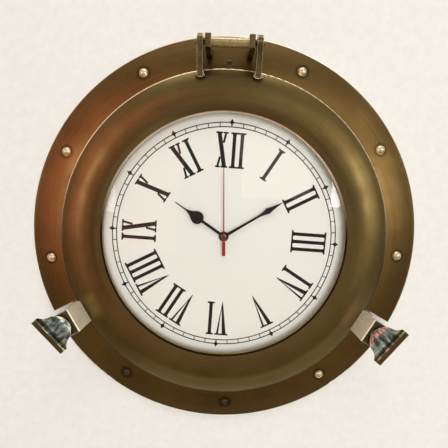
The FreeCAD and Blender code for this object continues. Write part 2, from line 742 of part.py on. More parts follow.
def partner_angle(direction, my_teeth, my_tooth, other_teeth):
    """Tooth angle of a wheel in the given direction that meshes with mine."""
    pitch_turn = (direction - my_tooth) * my_teeth
    return direction + 180.0 + (180.0 + pitch_turn) / other_teeth


def beside(spot, distance, direction):
    dx, dz = polar(distance, direction)
    return spot[0] + dx, spot[1] + dz


def centre_distance(teeth, leaves, module):
    return (teeth + leaves) * module / 2


CENTRE = (0.0, 0.0)
THIRD_SPOT = beside(CENTRE, centre_distance(SECOND_LEAVES, THIRD_TEETH, THIRD_MODULE), THIRD_DIRECTION)
MINUTE_SPOT = beside(CENTRE, centre_distance(CENTRE_LEAVES, MINUTE_TEETH, MOTION_MODULE), MINUTE_DIRECTION)
KNOB_SPOT = beside(MINUTE_SPOT, centre_distance(MINUTE_TEETH, KNOB_TEETH, MOTION_MODULE), KNOB_DIRECTION)
INTERMEDIATE_SPOT = beside(CENTRE, centre_distance(INTERMEDIATE_LEAVES, SECOND_TEETH, SECOND_MODULE),
                           INTERMEDIATE_DIRECTION)
ROTOR_SPOT = beside(INTERMEDIATE_SPOT, centre_distance(ROTOR_TEETH, INTERMEDIATE_TEETH, FIRST_MODULE),
                    ROTOR_DIRECTION)


def second_wheel():
    wheel = gear(SECOND_TEETH, SECOND_MODULE, *SECOND_WHEEL_DEPTHS)
    leaves = gear(SECOND_LEAVES, THIRD_MODULE, *SECOND_LEAF_DEPTHS)
    return wheel.fuse(leaves).fuse(rod(SECOND_ARBOR_R, PIVOT_BACK, SECOND_HAND_DEPTHS[1] + 0.3))


def third_wheel():
    wheel_turn = partner_angle(THIRD_DIRECTION, SECOND_LEAVES, 0.0, THIRD_TEETH)
    wheel = gear(THIRD_TEETH, THIRD_MODULE, *THIRD_WHEEL_DEPTHS, wheel_turn)
    leaf_turn = partner_angle(THIRD_DIRECTION, CENTRE_TEETH, 0.0, THIRD_LEAVES)
    leaves = gear(THIRD_LEAVES, CENTRE_MODULE, *THIRD_LEAF_DEPTHS, leaf_turn)
    arbor = rod(PIVOT_R, PIVOT_BACK, MOVE_FRONT - MOVE_WALL - 0.1)
    return shifted(wheel.fuse(leaves).fuse(arbor), *THIRD_SPOT)


def centre_wheel():
    """The last wheel of the running train. It turns the minute arbor through a slipping fit."""
    wheel = gear(CENTRE_TEETH, CENTRE_MODULE, *CENTRE_WHEEL_DEPTHS)
    return wheel.cut(rod(MINUTE_ARBOR_R + RUNNING_GAP, 0, STEM_TOP))


def minute_arbor():
    """The tube that carries the minute hand, with the leaves that drive the motion work."""
    leaves = gear(CENTRE_LEAVES, MOTION_MODULE, *ARBOR_LEAF_DEPTHS)
    collar = rod(MINUTE_ARBOR_R + 0.6, *ARBOR_COLLAR_DEPTHS)
    tube = rod(MINUTE_ARBOR_R, ARBOR_COLLAR_DEPTHS[0], MINUTE_HAND_DEPTHS[1])
    return tube.fuse(collar).fuse(leaves).cut(rod(SECOND_ARBOR_R + RUNNING_GAP, 0, 2 * STEM_TOP))


def minute_wheel():
    wheel_turn = partner_angle(MINUTE_DIRECTION, CENTRE_LEAVES, 0.0, MINUTE_TEETH)
    wheel = gear(MINUTE_TEETH, MOTION_MODULE, *MINUTE_WHEEL_DEPTHS, wheel_turn)
    leaf_turn = partner_angle(MINUTE_DIRECTION, HOUR_TEETH, 0.0, MINUTE_LEAVES)
    leaves = gear(MINUTE_LEAVES, HOUR_MODULE, *MINUTE_LEAF_DEPTHS, leaf_turn)
    return shifted(wheel.fuse(leaves).cut(rod(PIVOT_R + RUNNING_GAP, 0, STEM_TOP)), *MINUTE_SPOT)


def hour_wheel():
    wheel = gear(HOUR_TEETH, HOUR_MODULE, *HOUR_WHEEL_DEPTHS)
    tube = rod(HOUR_TUBE_R, HOUR_WHEEL_DEPTHS[0], HOUR_HAND_DEPTHS[1])
    return wheel.fuse(tube).cut(rod(MINUTE_ARBOR_R + RUNNING_GAP, 0, 2 * STEM_TOP))


def intermediate_wheel():
    leaf_turn = partner_angle(INTERMEDIATE_DIRECTION, SECOND_TEETH, 0.0, INTERMEDIATE_LEAVES)
    leaves = gear(INTERMEDIATE_LEAVES, SECOND_MODULE, *INTERMEDIATE_LEAF_DEPTHS, leaf_turn)
    wheel = gear(INTERMEDIATE_TEETH, FIRST_MODULE, *INTERMEDIATE_WHEEL_DEPTHS)
    arbor = rod(PIVOT_R, PIVOT_BACK, MIDDLE_PLATE[1])
    return shifted(wheel.fuse(leaves).fuse(arbor), *INTERMEDIATE_SPOT)


def rotor():
    leaf_turn = partner_angle(ROTOR_DIRECTION, INTERMEDIATE_TEETH, 0.0, ROTOR_TEETH)
    leaves = gear(ROTOR_TEETH, FIRST_MODULE, *ROTOR_LEAF_DEPTHS, leaf_turn)
    arbor = rod(ROTOR_PIVOT_R, PIVOT_BACK, MIDDLE_PLATE[1])
    return shifted(leaves.fuse(rod(MAGNET_R, *MAGNET_DEPTHS)).fuse(arbor), *ROTOR_SPOT)


def set_knob():
    """The knob that is turned from behind to set the hands, with its pinion."""
    teeth_turn = partner_angle(MINUTE_DIRECTION, CENTRE_LEAVES, 0.0, MINUTE_TEETH)
    knob_turn = partner_angle(KNOB_DIRECTION, MINUTE_TEETH, teeth_turn, KNOB_TEETH)
    teeth = gear(KNOB_TEETH, MOTION_MODULE, *MINUTE_WHEEL_DEPTHS, knob_turn)
    back = 0.4
    knob = rod(KNOB_R, back, MOVE_BACK - 0.2)
    for angle in evenly(16):
        knob = knob.cut(around(rod(0.45, 0, MOVE_BACK, KNOB_R, 0), angle))
    shaft = rod(KNOB_SHAFT_R, back, MINUTE_WHEEL_DEPTHS[1])
    return shifted(teeth.fuse(shaft).fuse(knob), *KNOB_SPOT)


# ---- movement -----------------------------------------------------------------------------------------
def movement_case():
    x = (-MOVE_X, MOVE_X)
    inner_x = (-MOVE_X + MOVE_WALL, MOVE_X - MOVE_WALL)
    inner_z = (MOVE_Z[0] + MOVE_WALL, MOVE_Z[1] - MOVE_WALL)
    shell = block(x, MOVE_Z, (MOVE_BACK, MOVE_FRONT))
    upright = [e for e in shell.Edges if abs(e.BoundBox.YLength - (MOVE_FRONT - MOVE_BACK)) < 0.01]
    shell = shell.makeFillet(2.5, upright)
    shell = shell.cut(block(inner_x, (PARTITION_Z[1], inner_z[1]), (MOVE_BACK - 1, MOVE_FRONT - MOVE_WALL)))
    shell = shell.cut(block(inner_x, (inner_z[0], PARTITION_Z[0]), (MOVE_BACK - 1, MOVE_FRONT - MOVE_WALL)))
    stem = rod(STEM_R, MOVE_FRONT - MOVE_WALL, STEM_TOP)
    post = rod(PIVOT_R, MINUTE_WHEEL_DEPTHS[0], MOVE_FRONT - MOVE_WALL, *MINUTE_SPOT)
    bore = rod(STEM_BORE_R, MOVE_FRONT - 2 * MOVE_WALL, STEM_TOP + 1)
    return shell.fuse(stem).cut(bore).fuse(post)


def movement_lid():
    """The back of the gear compartment, inside the case's walls."""
    inset = 0.1
    x = (-MOVE_X + MOVE_WALL + inset, MOVE_X - MOVE_WALL - inset)
    z = (PARTITION_Z[1] + inset, MOVE_Z[1] - MOVE_WALL - inset)
    lid = block(x, z, (MOVE_BACK, LID_FRONT))
    return lid.cut(rod(KNOB_SHAFT_R + RUNNING_GAP, 0, STEM_TOP, *KNOB_SPOT))


def middle_plate():
    """The plate that the rotor and the intermediate wheel run in, on three pillars."""
    back, front = MIDDLE_PLATE
    base = block((-16, 17), (-14.5, 14), MIDDLE_PLATE)
    for spot in PILLAR_SPOTS:
        base = base.fuse(rod(PILLAR_R, back, MOVE_FRONT - MOVE_WALL, *spot))
    holes = [
        (SECOND_ARBOR_R + 0.5, CENTRE),
        (2.5, THIRD_SPOT),
        (PIVOT_R + RUNNING_GAP, INTERMEDIATE_SPOT),
        (ROTOR_PIVOT_R + RUNNING_GAP, ROTOR_SPOT),
    ]
    for radius, spot in holes:
        base = base.cut(rod(radius, back - 1, front + 1, *spot))
    return base


def stator():
    """A flat iron plate that carries the field from the coil's ends to the rotor."""
    legs = plate([
        (-24, -15.8), (-6.6, -15.8), (-6.6, -2.6), (-13.4, -2.6),
        (-13.4, 6.5), (-24, 6.5), (-24, 4.2), (-17.4, 4.2), (-17.4, -13.2), (-24, -13.2),
    ], *STATOR_DEPTHS)
    pole = rod(MAGNET_R + POLE_GAP, 0, STEM_TOP, *ROTOR_SPOT)
    return legs.cut(pole).cut(rod(PIVOT_R + 0.3, 0, STEM_TOP, *INTERMEDIATE_SPOT))


def coil_core():
    return block((-23.2, -20.8), (-15.4, 6.1), CORE_DEPTHS)


def coil_winding():
    coil = Part.makeCylinder(3.6, 16.0, at(-22, -12.6, 8.7), V(0, 0, 1))
    return coil.cut(coil_core())


def circuit_board():
    board = block((4, 25), (-16.4, -9.6), (4.2, 5.0))
    return board.fuse(rod(2.4, 5.0, 5.8, 9, -13))


def battery():
    length = 2 * BATTERY_HALF - 1.6
    cell = crossbar(BATTERY_R, -BATTERY_HALF, -BATTERY_HALF + length, BATTERY_Z, BATTERY_DEPTH)
    return cell.fuse(crossbar(2.6, BATTERY_HALF - 1.7, BATTERY_HALF, BATTERY_Z, BATTERY_DEPTH))


def contact(side):
    near, far = side * (BATTERY_HALF + 0.1), side * (MOVE_X - MOVE_WALL)
    x = (min(near, far), max(near, far))
    tab = block(x, (BATTERY_Z - 4, BATTERY_Z + 4), (4.0, 15.0))
    dimple = block((x[0] + 0.6 if side > 0 else x[0], x[1] if side > 0 else x[1] - 0.6),
                   (BATTERY_Z - 2, BATTERY_Z + 2), (6, 13))
    return tab.cut(dimple)


def hex_nut():
    corner_r = STEM_NUT_FLAT / math.cos(math.radians(30))
    corners = [polar(corner_r, angle) for angle in evenly(6)]
    return plate(corners, DIAL_FRONT + 0.4, STEM_TOP - 0.1).cut(rod(STEM_R, 0, 2 * STEM_TOP))


# ---- writing the parts --------------------------------------------------------------------------------
def write_porthole():
    flange = flange_blank()
    rivets = flange_rivets()
    screws = flange_screws()
    lug_pieces = {name: hinge_lug(side) for name, side in (("left", -1), ("right", 1))}
    brackets = {}
    bracket_bolts = []
    for name, angle in DOG_ANGLES.items():
        bolts = [around(screw, angle) for screw in bracket_screws()]
        bracket_bolts += bolts
        bracket = around(dog_bracket(), angle)
        brackets[name] = bored(bracket.cut(flange), bolts)
    studs = [stud for body, stud, hole in lug_pieces.values()]
    flange = bored(flange, studs + rivets + screws + bracket_bolts + dial_screws())
    save("flange_ring", flange)
    save("flange_rivets", *rivets)
    save("flange_screws", *screws)
    for name, (body, stud, hole) in lug_pieces.items():
        seated = largest(body.cut(flange_blank()))
        save("hinge_lug_" + name, seated.fuse(stud).cut(hole).removeSplitter())
    for name in DOG_ANGLES:
        save("dog_bracket_" + name, brackets[name])
    save("dog_bracket_screws", *bracket_bolts)
    save("hinge_pin", hinge_pin())
    save("hinge_spacer_tube", spacer_tube())
    save("rear_case", bored(rear_case().cut(flange), cover_screws() + hanger_rivets()))


def write_door():
    screws = [retainer_screw(angle) for angle in evenly(8, 22.5)]
    save("door_ring", bored(door_ring(), screws))
    for name, side in (("left", -1), ("right", 1)):
        save("hinge_arm_" + name, largest(hinge_arm(side).cut(door_ring())))
    ear = dog_ear()
    for name, angle in DOG_ANGLES.items():
        save("dog_ear_" + name, largest(around(ear, angle).cut(door_ring())))
    save("glass_lens", glass_lens())
    save("glass_gasket", glass_gasket())
    save("glass_retainer", bored(glass_retainer(), screws))
    save("retainer_screws", *screws)
    save("door_seal", door_seal())


def write_dogs():
    for name, angle in DOG_ANGLES.items():
        save("dog_pin_" + name, around(dog_pin(), angle))
        save("swing_bolt_" + name, around(swing_bolt(), angle))
        nut = around(thumb_nut(), BAR_TURNS[name], 0, DOG_R)
        save("thumb_nut_" + name, around(nut, angle))


def write_back():
    window = ((-26.5, 26.5), (BATTERY_Z - 8, BATTERY_Z + 8))
    cover = back_cover(window, KNOB_SPOT)
    save("back_cover", bored(cover, cover_screws()))
    save("back_cover_screws", *cover_screws())
    save("hanger_plate", bored(hanger_plate(), hanger_rivets()))
    save("hanger_rivets", *hanger_rivets())


def write_dial():
    dial = ring(DIAL_R, DIAL_HOLE_R, LEDGE_DEPTH, DIAL_FRONT)
    save("dial_plate", bored(dial, dial_screws()))
    save("dial_screws", *dial_screws())
    save("hour_hand", hour_hand())
    save("minute_hand", minute_hand())
    save("second_hand", second_hand())


def write_movement():
    save("movement_case", movement_case())
    save("movement_lid", movement_lid())
    save("middle_plate", middle_plate())
    save("rubber_washer", ring(8.5, STEM_R, MOVE_FRONT, LEDGE_DEPTH))
    save("stem_washer", ring(4.7, STEM_R, DIAL_FRONT, DIAL_FRONT + 0.4))
    save("stem_nut", hex_nut())
    save("battery", battery())
    save("contact_positive", contact(1))
    save("contact_negative", contact(-1))
    save("circuit_board", circuit_board())
    save("crystal", crossbar(1.0, 14, 21, -13, 6.0))
    save("stator", stator())
    save("coil_core", coil_core())
    save("coil_winding", coil_winding())
    for make in (rotor, intermediate_wheel, second_wheel, third_wheel, centre_wheel, minute_arbor,
                 minute_wheel, hour_wheel, set_knob):
        save(make.__name__, make())


os.makedirs("parts", exist_ok=True)
write_porthole()
write_door()
write_dogs()
write_back()
write_dial()
write_movement()
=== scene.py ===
"""Looks of the porthole deck clock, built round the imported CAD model.

Metres, in the CAD's frame: the wall is the plane y = 0, the front looks along -Y, and angles round the
clock run clockwise from the top. Lengths that describe a shape are written in millimetres.
"""
import json
import math

import bmesh
import bpy
from mathutils import Matrix, Vector


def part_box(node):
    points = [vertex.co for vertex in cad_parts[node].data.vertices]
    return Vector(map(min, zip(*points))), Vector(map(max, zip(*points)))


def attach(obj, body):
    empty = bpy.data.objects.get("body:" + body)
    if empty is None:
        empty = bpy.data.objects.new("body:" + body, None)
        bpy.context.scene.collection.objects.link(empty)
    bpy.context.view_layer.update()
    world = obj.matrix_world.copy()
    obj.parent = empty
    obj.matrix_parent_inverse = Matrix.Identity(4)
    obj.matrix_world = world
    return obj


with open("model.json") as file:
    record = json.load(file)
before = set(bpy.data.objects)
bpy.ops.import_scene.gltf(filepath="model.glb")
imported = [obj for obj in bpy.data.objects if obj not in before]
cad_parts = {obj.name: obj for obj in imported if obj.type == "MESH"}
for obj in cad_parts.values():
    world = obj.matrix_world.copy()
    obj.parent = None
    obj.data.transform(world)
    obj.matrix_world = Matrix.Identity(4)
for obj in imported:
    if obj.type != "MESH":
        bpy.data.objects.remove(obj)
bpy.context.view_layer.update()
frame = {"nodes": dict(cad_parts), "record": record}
nodes = frame["nodes"]

MM = 0.001

# ---- view -------------------------------------------------------------------------------------------
CLOCK_TURN = 2.2            # degrees that the clock hangs clockwise of upright in this view
EYE = (1.4, -327.0, 37.7)   # from the clock's middle, with the view's own upright
YAW = -0.20
PITCH = 4.81
ROLL = -0.29
LENS = 25.7

# ---- rivets and screws of the flange ------------------------------------------------------------------
RIVET_R = 172.0
RIVET_TURN = -2.2
RIVET_ANGLES = (-144.5, -97.0, -61.5, -25.8, 25.8, 61.5, 97.0, 146.0, 180.0)

# ---- where the tone of the turned brass and its painted bands of light and shade change: radii in metres, from and to ---
LIP_ENDS = (0.1150, 0.1156)
CROWN_STARTS = (0.1185, 0.1225)
CROWN_ENDS = (0.1290, 0.1380)
SLOPE_STARTS = (0.1340, 0.1400)
RIM_STARTS = (0.1522, 0.1527)
RIM_ENDS = (0.1540, 0.1543)
DOOR_ENDS = (0.1538, 0.1545)
FLANGE_EDGE_STARTS = (0.1890, 0.1900)
UP_AND_LEFT = (-0.34, 0, 0.94)      # the way from the door's lighter lower side to its darker upper side, both painted reflection

# ---- hinge: half widths in metres, from and to ---------------------------------------------------------
TUBE_ENDS = (0.0163, 0.0166)
HINGE_ENDS = (0.0330, 0.0350)

# ---- dial print -------------------------------------------------------------------------------------
DIAL_TURN = 2.3             # the print sits a little clockwise on the plate
NUMERAL_FOOT = 65.3
NUMERAL_HEAD = 98.7
STEM = 3.3
STEM_PITCH = 7.3
STEM_FLARE = 0.55
STEM_FLARE_RISE = 1.5
SERIF = 1.9
SERIF_THICK = 1.6
HAIRLINE = 1.85
DIAGONAL = 3.6
X_WIDTH = 12.9
X_BREAK = 0.86              # how much of the thick stroke's width the thin stroke of an X leaves out
V_WIDTH = 13.4
V_CROTCH = 6.8              # how far above its point the inside of a V begins
SLANT = 1.12                # how much wider a slanted stroke measures across
LETTER_GAP = 1.3
TRACK_OUTER = 107.66
TRACK_INNER = 103.6
TRACK_LINE = 0.95
TICK_HALF = 0.38
HOUR_TICK_HALF = 0.55
DIAMOND_IN = 104.4
DIAMOND_OUT = 111.3
DIAMOND_HALF = 2.6
DIAMOND_HOLLOW = 0.8
PRINT_THICK = 0.06
NUMERALS = {1: "I", 2: "II", 3: "III", 4: "IV", 5: "V", 6: "VI", 7: "VII", 8: "VIII", 9: "IX", 10: "X",
            11: "XI", 12: "XII"}

# ---- cap over the hands -----------------------------------------------------------------------------
CAP_R = 2.4
CAP_SIDE = 0.45
CAP_DOME = 0.55
CAP_STEPS = 8


# ---- node helpers -----------------------------------------------------------------------------------
class Nodes:
    """A node tree, with short calls for the nodes it needs."""

    def __init__(self, tree):
        self.tree = tree

    def node(self, kind, settings=None, **inputs):
        made = self.tree.nodes.new("ShaderNode" + kind)
        for key, value in (settings or {}).items():
            setattr(made, key, value)
        for key, value in inputs.items():
            self.feed(made.inputs[key.replace("_", " ")], value)
        return made

    def feed(self, socket, value):
        if isinstance(value, bpy.types.NodeSocket):
            self.tree.links.new(value, socket)
        else:
            socket.default_value = value

    def place(self):
        return self.node("TexCoord").outputs["Object"]

    def split(self, vector):
        made = self.node("SeparateXYZ")
        self.feed(made.inputs[0], vector)
        return made.outputs

    def math(self, operation, a, b=0.0):
        made = self.node("Math", {"operation": operation})
        self.feed(made.inputs[0], a)
        self.feed(made.inputs[1], b)
        return made.outputs[0]

    def vector_math(self, operation, a, b=(0, 0, 0)):
        made = self.node("VectorMath", {"operation": operation})
        self.feed(made.inputs[0], a)
        self.feed(made.inputs[1], b)
        return made.outputs["Value" if operation in ("DOT_PRODUCT", "DISTANCE", "LENGTH") else "Vector"]

    def noise(self, vector, scale, detail=4.0, roughness=0.55):
        made = self.node("TexNoise", None, Vector=vector, Scale=scale, Detail=detail, Roughness=roughness)
        return made.outputs["Fac"]

    def ramp(self, value, stops):
        made = self.node("ValToRGB", None, Fac=value)
        elements = made.color_ramp.elements
        while len(elements) < len(stops):
            elements.new(0.5)
        for element, (position, colour) in zip(elements, stops):
            element.position = position
            element.color = (*colour, 1)
        return made.outputs["Color"]

    def span(self, value, low, high, to_low=0.0, to_high=1.0):
        made = self.node("MapRange", {"interpolation_type": "SMOOTHSTEP"})
        for socket, item in zip(made.inputs, (value, low, high, to_low, to_high)):
            self.feed(socket, item)
        return made.outputs["Result"]

    def after(self, value, limits):
        """0 below the two limits and 1 above them."""
        return self.span(value, *limits)

    def before(self, value, limits):
        """1 below the two limits and 0 above them."""
        return self.span(value, *limits, 1.0, 0.0)

    def mix(self, factor, a, b, blend="MIX"):
        made = self.node("Mix", {"data_type": "RGBA", "blend_type": blend})
        self.feed(made.inputs[0], factor)
        for socket, value in ((made.inputs[6], a), (made.inputs[7], b)):
            self.feed(socket, (*value, 1) if isinstance(value, tuple) and len(value) == 3 else value)
        return made.outputs[2]

    def end_in_mix(self, factor, first, second):
        """Ends the material in a mix of two shaders."""
        made = self.node("MixShader", None, Fac=factor)
        self.feed(made.inputs[1], first.outputs[0])
        self.feed(made.inputs[2], second.outputs[0])
        self.feed(self.node("OutputMaterial").inputs["Surface"], made.outputs[0])


class Paint(Nodes):
    """A material made of nodes round one Principled shader."""

    def __init__(self, name, **settings):
        self.material = bpy.data.materials.new(name)
        self.material.use_nodes = True
        super().__init__(self.material.node_tree)
        self.shader = self.tree.nodes["Principled BSDF"]
        for socket, value in settings.items():
            self.shader.inputs[socket.replace("_", " ")].default_value = value

    def set(self, **values):
        for key, value in values.items():
            self.feed(self.shader.inputs[key.replace("_", " ")], value)

    def bump(self, height, strength, distance=0.0001):
        made = self.node("Bump", None, Strength=strength, Distance=distance, Height=height)
        self.feed(self.shader.inputs["Normal"], made.outputs["Normal"])

    def turned(self, vector):
        """Coordinates for marks of turning about the clock's axis: radius, angle and depth."""
        radius = self.vector_math("LENGTH", self.vector_math("MULTIPLY", vector, (1, 0, 1)))
        parts = self.split(vector)
        angle = self.math("ARCTAN2", parts["X"], parts["Z"])
        return self.node("CombineXYZ", None, X=radius, Y=angle, Z=parts["Y"]).outputs[0]

    def worn_edges(self, radius):
        """1 on sharp edges and 0 on open faces."""
        rounded = self.node("Bevel", {"samples": 6}, Radius=radius).outputs["Normal"]
        plain = self.node("NewGeometry").outputs["Normal"]
        return self.span(self.vector_math("DOT_PRODUCT", rounded, plain), 0.995, 0.86)

    def facing_front(self):
        """1 on faces that look straight to the front of the clock, 0 on the others."""
        depth = self.split(self.node("NewGeometry").outputs["Normal"])["Y"]
        return self.span(self.math("MULTIPLY", depth, -1.0), 0.90, 0.97)

    def corners(self, distance):
        """1 on open faces and 0 deep in corners."""
        return self.node("AmbientOcclusion", {"samples": 6}, Distance=distance).outputs["AO"]


# ---- camera, stage and light ------------------------------------------------------------------------
def add_camera():
    yaw, pitch, roll = (math.radians(a) for a in (YAW, PITCH, ROLL))
    forward = Vector((math.sin(yaw) * math.cos(pitch), math.cos(yaw) * math.cos(pitch), -math.sin(pitch)))
    level_right = Vector((math.cos(yaw), -math.sin(yaw), 0))
    level_up = level_right.cross(forward)
    right = level_right * math.cos(roll) + level_up * math.sin(roll)
    up = level_up * math.cos(roll) - level_right * math.sin(roll)
    axes = Matrix((right, up, -forward)).transposed()
    turn = Matrix.Rotation(math.radians(-CLOCK_TURN), 4, "Y")
    camera = bpy.data.objects.new("camera", bpy.data.cameras.new("camera"))
    camera.data.lens = LENS
    camera.data.sensor_width = 36
    camera.data.clip_start = 0.01
    camera.matrix_world = turn @ Matrix.Translation(Vector(EYE) * MM) @ axes.to_4x4()
    bpy.context.scene.collection.objects.link(camera)
    bpy.context.scene.camera = camera


def add_light(name, place, size, power, colour, on_paint=False, target=(0, 0, 0)):
    """A soft light on the metal only, or on paint and wall only."""
    data = bpy.data.lights.new(name, "AREA")
    data.shape = "RECTANGLE"
    data.size, data.size_y = size
    data.energy = power
    data.color = colour
    light = bpy.data.objects.new(name, data)
    light.location = place
    light.rotation_euler = (Vector(target) - Vector(place)).to_track_quat("-Z", "Y").to_euler()
    light.visible_glossy = not on_paint
    light.visible_diffuse = on_paint
    bpy.context.scene.collection.objects.link(light)


def add_lights():
    """Paint sees two broad lights; the metal reflects a bright right, a red left and two small glints."""
    add_light("soft_front", (0.40, -2.1, -0.02), (1.2, 1.2), 24, (1.0, 0.985, 0.965), on_paint=True)
    add_light("above", (0.1, -1.2, 1.5), (1.4, 0.8), 9, (0.97, 0.99, 1.0), on_paint=True)
    add_light("right_window", (1.45, -1.45, 0.50), (0.9, 1.2), 6.5, (1.0, 0.95, 0.84))
    add_light("right_front", (0.55, -1.9, 0.60), (0.8, 0.8), 3.2, (1.0, 0.95, 0.84))
    add_light("left_glow", (-1.20, -1.55, 0.30), (1.7, 1.6), 9, (1.0, 0.24, 0.19))
    add_light("top_strip", (0.0, -0.5, 1.8), (1.6, 0.5), 9, (1.0, 0.975, 0.95))
    add_light("glint_right", (0.92, -1.27, 0.21), (0.12, 0.22), 1.5, (1.0, 0.98, 0.95),
              target=(0.1, 0, 0.04))
    add_light("glint_left", (-0.96, -1.25, 0.17), (0.16, 0.34), 1.0, (1.0, 0.97, 0.95),
              target=(-0.1, 0, 0.04))
    add_light("behind", (0.6, 1.6, 1.4), (1.2, 1.2), 25, (1.0, 0.96, 0.92))


def add_world():
    """A room that is a little brighter above."""
    world = bpy.data.worlds.new("room")
    world.use_nodes = True
    nodes = Nodes(world.node_tree)
    height = nodes.split(nodes.node("TexCoord").outputs["Generated"])["Z"]
    background = world.node_tree.nodes["Background"]
    background.inputs["Color"].default_value = (1.0, 0.93, 0.84, 1)
    nodes.feed(background.inputs["Strength"], nodes.span(height, -0.6, 0.8, 0.28, 0.46))
    bpy.context.scene.world = world
    bpy.context.scene.view_settings.view_transform = "Standard"


def stage_material(name, colour):
    """Pale paint that is seen from its front only, and that lets light reach what lies against it."""
    material = bpy.data.materials.new(name)
    material.use_nodes = True
    material.node_tree.nodes.clear()
    nodes = Nodes(material.node_tree)
    grain = nodes.noise(nodes.place(), 110.0, 9.0, 0.7)
    tone = nodes.ramp(grain, [(0.3, tuple(c * 0.92 for c in colour)), (0.7, colour)])
    near = nodes.math("LESS_THAN", nodes.node("LightPath").outputs["Ray Length"], 0.02)
    unseen = nodes.math("MAXIMUM", near, nodes.node("NewGeometry").outputs["Backfacing"])
    nodes.end_in_mix(unseen, nodes.node("BsdfDiffuse", None, Color=tone), nodes.node("BsdfTransparent"))
    return material


def add_sheet(name, corners, colour, seen=True):
    mesh = bpy.data.meshes.new(name)
    mesh.from_pydata(corners, [], [(0, 1, 2, 3)])
    mesh.materials.append(stage_material(name, colour))
    sheet = bpy.data.objects.new(name, mesh)
    sheet.visible_camera = seen
    sheet.visible_diffuse = seen
    sheet.visible_shadow = seen
    bpy.context.scene.collection.objects.link(sheet)


def add_stage():
    side, top, floor, wall = 4.0, 3.0, -1.1, 0.0006
    add_sheet("wall", [(-side, wall, floor), (side, wall, floor), (side, wall, top), (-side, wall, top)],
              (0.875, 0.857, 0.832))
    add_sheet("floor", [(-side, -side, floor), (side, -side, floor), (side, wall, floor),
                        (-side, wall, floor)], (0.80, 0.78, 0.74))
    low, near, far = -0.60, -0.12, -1.30
    add_sheet("dark_card", [(-side, far, low), (side, far, low), (side, near, low), (-side, near, low)],
              (0.44, 0.37, 0.23), seen=False)


# ---- materials --------------------------------------------------------------------------------------
def round_point(radius, angle):
    """A place on the clock's face, at an angle clockwise from the top."""
    turn = math.radians(angle)
    return Vector((math.sin(turn), 0, math.cos(turn))) * radius * MM


def rivet_shade_and_grime(paint, place):
    """How dark the painted shade and grime are: strong next to a rivet or a screw of the flange, 0 away from
    them.
    """
    flat = paint.vector_math("MULTIPLY", place, (1, 0, 1))
    nearest = 1.0
    for angle in RIVET_ANGLES:
        apart = paint.vector_math("DISTANCE", flat, round_point(RIVET_R, angle + RIVET_TURN))
        nearest = paint.math("MINIMUM", apart, nearest)
    return paint.span(nearest, 0.0045, 0.0085, 0.75, 0.0)


def aged_and_shaded_tone(paint, place, rings, blotches, on_door):
    """Brown brass in patches, yellower on the door, with lathe rings and specks, and painted shade with grime
    in the corners and round the rivets.
    """
    specks = paint.noise(place, 420.0, 3.0, 0.7)
    tone = paint.ramp(blotches, [(0.30, (0.110, 0.064, 0.020)), (0.50, (0.150, 0.092, 0.030)),
                                 (0.70, (0.190, 0.126, 0.044))])
    tone = paint.mix(on_door, tone, paint.mix(1.0, tone, (1.08, 1.26, 1.40), "MULTIPLY"))
    tone = paint.mix(paint.span(rings, 0.35, 0.75, 0.0, 0.30), tone, (0.24, 0.172, 0.075))
    tone = paint.mix(paint.span(specks, 0.60, 0.80, 0.0, 0.5), tone, (0.06, 0.036, 0.014))
    # painted shade and grime: darker deep in corners
    corner_shade_and_grime = paint.span(paint.corners(0.008), 0.25, 0.85)
    tone = paint.mix(corner_shade_and_grime, (0.055, 0.034, 0.016), tone)
    # painted shade and grime round the rivets and screws of the flange
    return paint.mix(rivet_shade_and_grime(paint, place), tone, (0.035, 0.020, 0.008))


def painted_door_bands(paint, place, radius, height, on_door, tone):
    """Painted shade and reflection on the door: its crown and its top painted darker on the upper part, and
    its outer slope painted lighter on the lower part.
    """
    upper = paint.vector_math("DOT_PRODUCT", place, UP_AND_LEFT)
    inside = paint.before(radius, CROWN_ENDS)
    crown = paint.math("MULTIPLY", paint.after(radius, CROWN_STARTS), inside)
    # painted shade: the crown and the top of the door darken towards the upper left
    crown_shade = paint.math("MULTIPLY", crown, paint.span(upper, -0.06, 0.0, 0.0, 0.32))
    top_shade = paint.math("MULTIPLY", inside, paint.span(height, 0.100, 0.113, 0.0, 0.36))
    tone = paint.mix(paint.math("MAXIMUM", crown_shade, top_shade), tone, (0.010, 0.006, 0.002))
    slope = paint.math("MULTIPLY", paint.after(radius, SLOPE_STARTS), on_door)
    # painted reflection: the outer slope lightens towards the lower right
    slope_reflection = paint.math("MULTIPLY", slope, paint.span(upper, -0.065, -0.115, 0.0, 0.50))
    return paint.mix(slope_reflection, tone, (0.36, 0.31, 0.17))


def worn_and_painted_edges(paint, radius, height, tone):
    """Bright worn edges, and painted light: the line round the door painted as a highlight at the top and as
    shade at the bottom, a painted highlight on the flange's outer edge, and the lip round the glass painted
    as shade at the bottom and as a highlight at the top.
    """
    rim = paint.math("MULTIPLY", paint.after(radius, RIM_STARTS), paint.before(radius, RIM_ENDS))
    # painted highlight at the top of the line round the door, painted shade at its bottom
    rim_highlight_and_shade = paint.mix(paint.span(height, -0.03, 0.10), (0.060, 0.040, 0.016), (0.90, 0.78, 0.52))
    # painted shade at the bottom of the lip round the glass, painted highlight at its top
    lip_shade_and_highlight = paint.mix(paint.span(height, 0.0, 0.08), (0.016, 0.012, 0.007), (0.85, 0.80, 0.70))
    tone = paint.mix(paint.worn_edges(0.0010), tone, (0.60, 0.50, 0.32))
    tone = paint.mix(rim, tone, rim_highlight_and_shade)
    # painted highlight along the flange's outer edge
    tone = paint.mix(paint.after(radius, FLANGE_EDGE_STARTS), tone, (0.85, 0.76, 0.55))
    return paint.mix(paint.before(radius, LIP_ENDS), tone, lip_shade_and_highlight)


